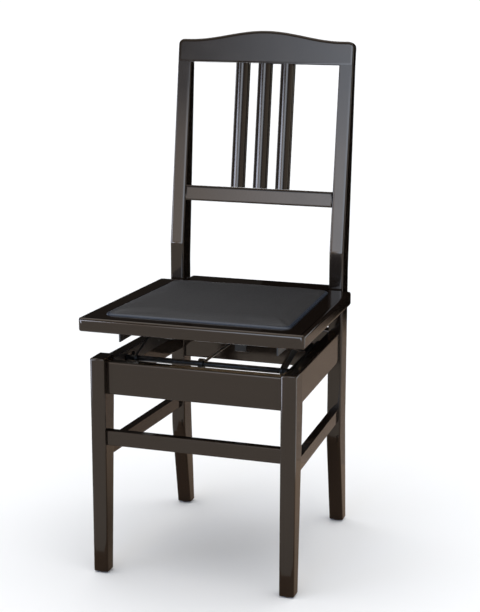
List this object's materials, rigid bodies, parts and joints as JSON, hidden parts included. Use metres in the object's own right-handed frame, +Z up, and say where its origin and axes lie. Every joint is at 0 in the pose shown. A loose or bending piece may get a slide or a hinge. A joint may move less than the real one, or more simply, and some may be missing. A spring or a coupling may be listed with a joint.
{
  "type": "piano chair",
  "caption": "Height-adjustable piano chair: black lacquered wooden frame with a raked slatted back, and a padded seat board on a steel scissor lift.",
  "frame": {"origin": "centre of the bounding box at floor level, with the seat part way up its travel as in the picture", "axes": "+X to the right of someone looking at the chair's front, +Y from the front to the back of the chair, +Z up"},
  "size_m": [0.4008, 0.436, 0.9311],
  "materials": {
    "black_lacquer": "gloss black polyester lacquer on hardwood",
    "grey_vinyl": "matte dark grey vinyl leathercloth over thin foam",
    "plywood": "raw plywood",
    "black_steel": "black painted steel sheet and bar",
    "zinc_plated_steel": "zinc plated steel",
    "brown_nylon": "moulded nylon"
  },
  "bodies": {
    "base": {"back_lower_rail": "black_lacquer", "back_slat_centre": "black_lacquer", "back_slat_left": "black_lacquer", "back_slat_right": "black_lacquer", "crest_rail": "black_lacquer", "floor_glide_front_left": "brown_nylon", "floor_glide_front_right": "brown_nylon", "floor_glide_rear_left": "brown_nylon", "floor_glide_rear_right": "brown_nylon", "front_leg_left": "black_lacquer", "front_leg_right": "black_lacquer", "front_rail": "black_lacquer", "front_stretcher": "black_lacquer", "lever_pin": "zinc_plated_steel", "lever_spring": "zinc_plated_steel", "lock_bracket": "black_steel", "lower_pivot_bolt_left": "zinc_plated_steel", "lower_pivot_bolt_right": "zinc_plated_steel", "rail_plate_left": "black_steel", "rail_plate_right": "black_steel", "rear_post_left": "black_lacquer", "rear_post_right": "black_lacquer", "rear_rail": "black_lacquer", "side_rail_left": "black_lacquer", "side_rail_right": "black_lacquer", "side_stretcher_left": "black_lacquer", "side_stretcher_right": "black_lacquer"},
    "rear_arms": {"rear_arm_left": "black_steel", "rear_arm_right": "black_steel", "slide_pin_left": "zinc_plated_steel", "slide_pin_right": "zinc_plated_steel"},
    "front_arms": {"front_arm_left": "black_steel", "front_arm_right": "black_steel", "front_shaft": "black_steel", "scissor_rivet_left": "zinc_plated_steel", "scissor_rivet_right": "zinc_plated_steel"},
    "seat": {"seat_frame": "black_lacquer", "pad_board": "plywood", "seat_pad": "grey_vinyl", "seat_angle_left": "black_steel", "seat_angle_right": "black_steel", "upper_pivot_stud_left": "zinc_plated_steel", "upper_pivot_stud_right": "zinc_plated_steel"},
    "lock_rod": {"rod_end_eye": "black_steel", "lock_rod": "zinc_plated_steel"},
    "release_lever": {"release_lever": "black_steel"}
  },
  "joints": [
    {"name": "seat_lift", "type": "hinge", "parent": "base", "child": "rear_arms", "pos_m": [0, 0.05202, 0.3736], "axis": [-1, 0, 0], "range_deg": [-10.26, 18.06]},
    {"name": "scissor_pivot", "type": "hinge", "parent": "rear_arms", "child": "front_arms", "pos_m": [0, -0.03267, 0.3993], "axis": [1, 0, 0], "range_deg": [-20.62, 36.22]},
    {"name": "seat_pivot", "type": "hinge", "parent": "front_arms", "child": "seat", "pos_m": [0, 0.05202, 0.425], "axis": [-1, 0, 0], "range_deg": [-10.36, 18.16]},
    {"name": "rod_pivot", "type": "hinge", "parent": "front_arms", "child": "lock_rod", "pos_m": [-0.013, -0.11735, 0.3736], "axis": [-1, 0, 0], "range_deg": [-10.36, 18.16]},
    {"name": "release", "type": "hinge", "parent": "base", "child": "release_lever", "pos_m": [-0.013, 0.1, 0.3846], "axis": [1, 0, 0], "range_deg": [0, 8], "stiffness_Nm_per_rad": 0.6, "springref_deg": -11.46}
  ],
  "couplings": [
    {"joint": "scissor_pivot", "follows": "seat_lift", "ratio": 2},
    {"joint": "seat_pivot", "follows": "seat_lift", "ratio": 1},
    {"joint": "rod_pivot", "follows": "seat_lift", "ratio": 1}
  ]
}
